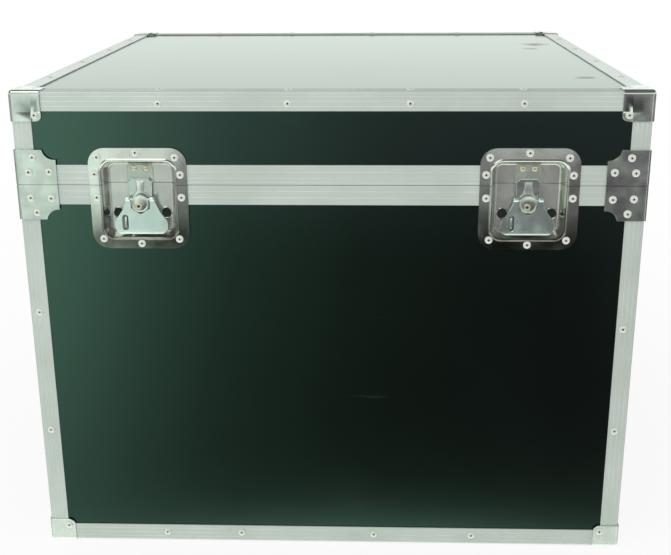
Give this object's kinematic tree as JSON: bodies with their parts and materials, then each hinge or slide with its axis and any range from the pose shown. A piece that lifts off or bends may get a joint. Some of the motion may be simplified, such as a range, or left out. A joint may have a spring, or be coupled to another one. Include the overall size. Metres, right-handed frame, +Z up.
{
  "type": "transport case",
  "caption": "Rectangular hinged-lid transport case: laminated panels, aluminium edging, steel corners, recessed butterfly latches in front and recessed side handles.",
  "frame": {"origin": "centre of the whole part's footprint, on the floor", "axes": "+X to the viewer's right along the long side, -Y the latch side, +Z up; the case shell sits 3.45 mm towards -Y because the hinge barrels reach further out than the front rivets"},
  "size_m": [0.6728, 0.6596, 0.534],
  "materials": {
    "laminated_board": "black phenolic laminate, satin",
    "aluminium_edging": "mill-finish extrusion, satin",
    "zinc_plated_steel": "bright zinc plate",
    "chromed_dish": "bright plate",
    "chromed_works": "bright plate",
    "latch_handle": "satin plate",
    "keeper_plate": "zinc plate with brassy rivets",
    "black_rubber": "matte",
    "grey_foam": "open-cell foam, matte"
  },
  "bodies": {
    "base": {"base_bottom_panel": "laminated_board", "base_front_panel": "laminated_board", "base_rear_panel": "laminated_board", "base_left_panel": "laminated_board", "base_right_panel": "laminated_board", "base_edge_frame": "aluminium_edging", "base_rim": "aluminium_edging", "base_rim_front": "aluminium_edging", "bottom_corner_front_left": "zinc_plated_steel", "base_brace_front_left": "zinc_plated_steel", "bottom_corner_front_right": "zinc_plated_steel", "base_brace_front_right": "zinc_plated_steel", "bottom_corner_rear_left": "zinc_plated_steel", "base_brace_rear_left": "zinc_plated_steel", "bottom_corner_rear_right": "zinc_plated_steel", "base_brace_rear_right": "zinc_plated_steel", "base_foam_floor": "grey_foam", "base_foam_front": "grey_foam", "base_foam_rear": "grey_foam", "base_foam_left": "grey_foam", "base_foam_right": "grey_foam", "left_latch_lower_dish": "chromed_dish", "left_hinge_base_leaf": "zinc_plated_steel", "left_side_handle_dish": "zinc_plated_steel", "right_latch_lower_dish": "chromed_dish", "right_hinge_base_leaf": "zinc_plated_steel", "right_side_handle_dish": "zinc_plated_steel"},
    "lid": {"lid_top_panel": "laminated_board", "lid_front_panel": "laminated_board", "lid_rear_panel": "laminated_board", "lid_left_panel": "laminated_board", "lid_right_panel": "laminated_board", "lid_edge_frame": "aluminium_edging", "lid_rim": "aluminium_edging", "lid_rim_front": "aluminium_edging", "top_corner_front_left": "zinc_plated_steel", "lid_brace_front_left": "zinc_plated_steel", "top_corner_front_right": "zinc_plated_steel", "lid_brace_front_right": "zinc_plated_steel", "top_corner_rear_left": "zinc_plated_steel", "lid_brace_rear_left": "zinc_plated_steel", "top_corner_rear_right": "zinc_plated_steel", "lid_brace_rear_right": "zinc_plated_steel", "lid_foam": "grey_foam", "left_latch_upper_dish": "chromed_dish", "left_latch_keeper": "keeper_plate", "left_hinge_lid_leaf": "zinc_plated_steel", "right_latch_upper_dish": "chromed_dish", "right_latch_keeper": "keeper_plate", "right_hinge_lid_leaf": "zinc_plated_steel"},
    "left_hub": {"left_latch_hub": "chromed_works"},
    "left_handle": {"left_latch_handle": "latch_handle"},
    "left_hook": {"left_latch_hook_plate": "chromed_works"},
    "left_bail": {"left_side_handle_bail": "zinc_plated_steel", "left_side_handle_grip": "black_rubber"},
    "right_hub": {"right_latch_hub": "chromed_works"},
    "right_handle": {"right_latch_handle": "latch_handle"},
    "right_hook": {"right_latch_hook_plate": "chromed_works"},
    "right_bail": {"right_side_handle_bail": "zinc_plated_steel", "right_side_handle_grip": "black_rubber"}
  },
  "joints": [
    {"name": "lid_hinge", "type": "hinge", "parent": "base", "child": "lid", "pos_m": [0, 0.32585, 0.4335], "axis": [-1, 0, 0], "range_deg": [0, 100]},
    {"name": "left_hub_turn", "type": "hinge", "parent": "base", "child": "left_hub", "pos_m": [-0.2035, -0.32495, 0.413], "axis": [0, 1, 0], "range_deg": [0, 180]},
    {"name": "left_handle_fold", "type": "hinge", "parent": "left_hub", "child": "left_handle", "pos_m": [-0.2035, -0.32545, 0.4176], "axis": [-1, 0, 0], "range_deg": [0, 90]},
    {"name": "left_hook_slide", "type": "slide", "parent": "base", "child": "left_hook", "axis": [0, -0.5, 0.866], "range_m": [0, 0.0056]},
    {"name": "left_bail_swing", "type": "hinge", "parent": "base", "child": "left_bail", "pos_m": [-0.3235, -0.00345, 0.286], "axis": [0, 1, 0], "range_deg": [0, 90]},
    {"name": "right_hub_turn", "type": "hinge", "parent": "base", "child": "right_hub", "pos_m": [0.2105, -0.32495, 0.413], "axis": [0, 1, 0], "range_deg": [0, 180]},
    {"name": "right_handle_fold", "type": "hinge", "parent": "right_hub", "child": "right_handle", "pos_m": [0.2105, -0.32545, 0.4176], "axis": [-1, 0, 0], "range_deg": [0, 90]},
    {"name": "right_hook_slide", "type": "slide", "parent": "base", "child": "right_hook", "axis": [0, -0.5, 0.866], "range_m": [0, 0.0056]},
    {"name": "right_bail_swing", "type": "hinge", "parent": "base", "child": "right_bail", "pos_m": [0.3235, -0.00345, 0.286], "axis": [0, -1, 0], "range_deg": [0, 90]}
  ],
  "couplings": [
    {"joint": "left_hook_slide", "follows": "left_hub_turn", "m_per_rad": 0.0017825},
    {"joint": "right_hook_slide", "follows": "right_hub_turn", "m_per_rad": 0.0017825}
  ]
}
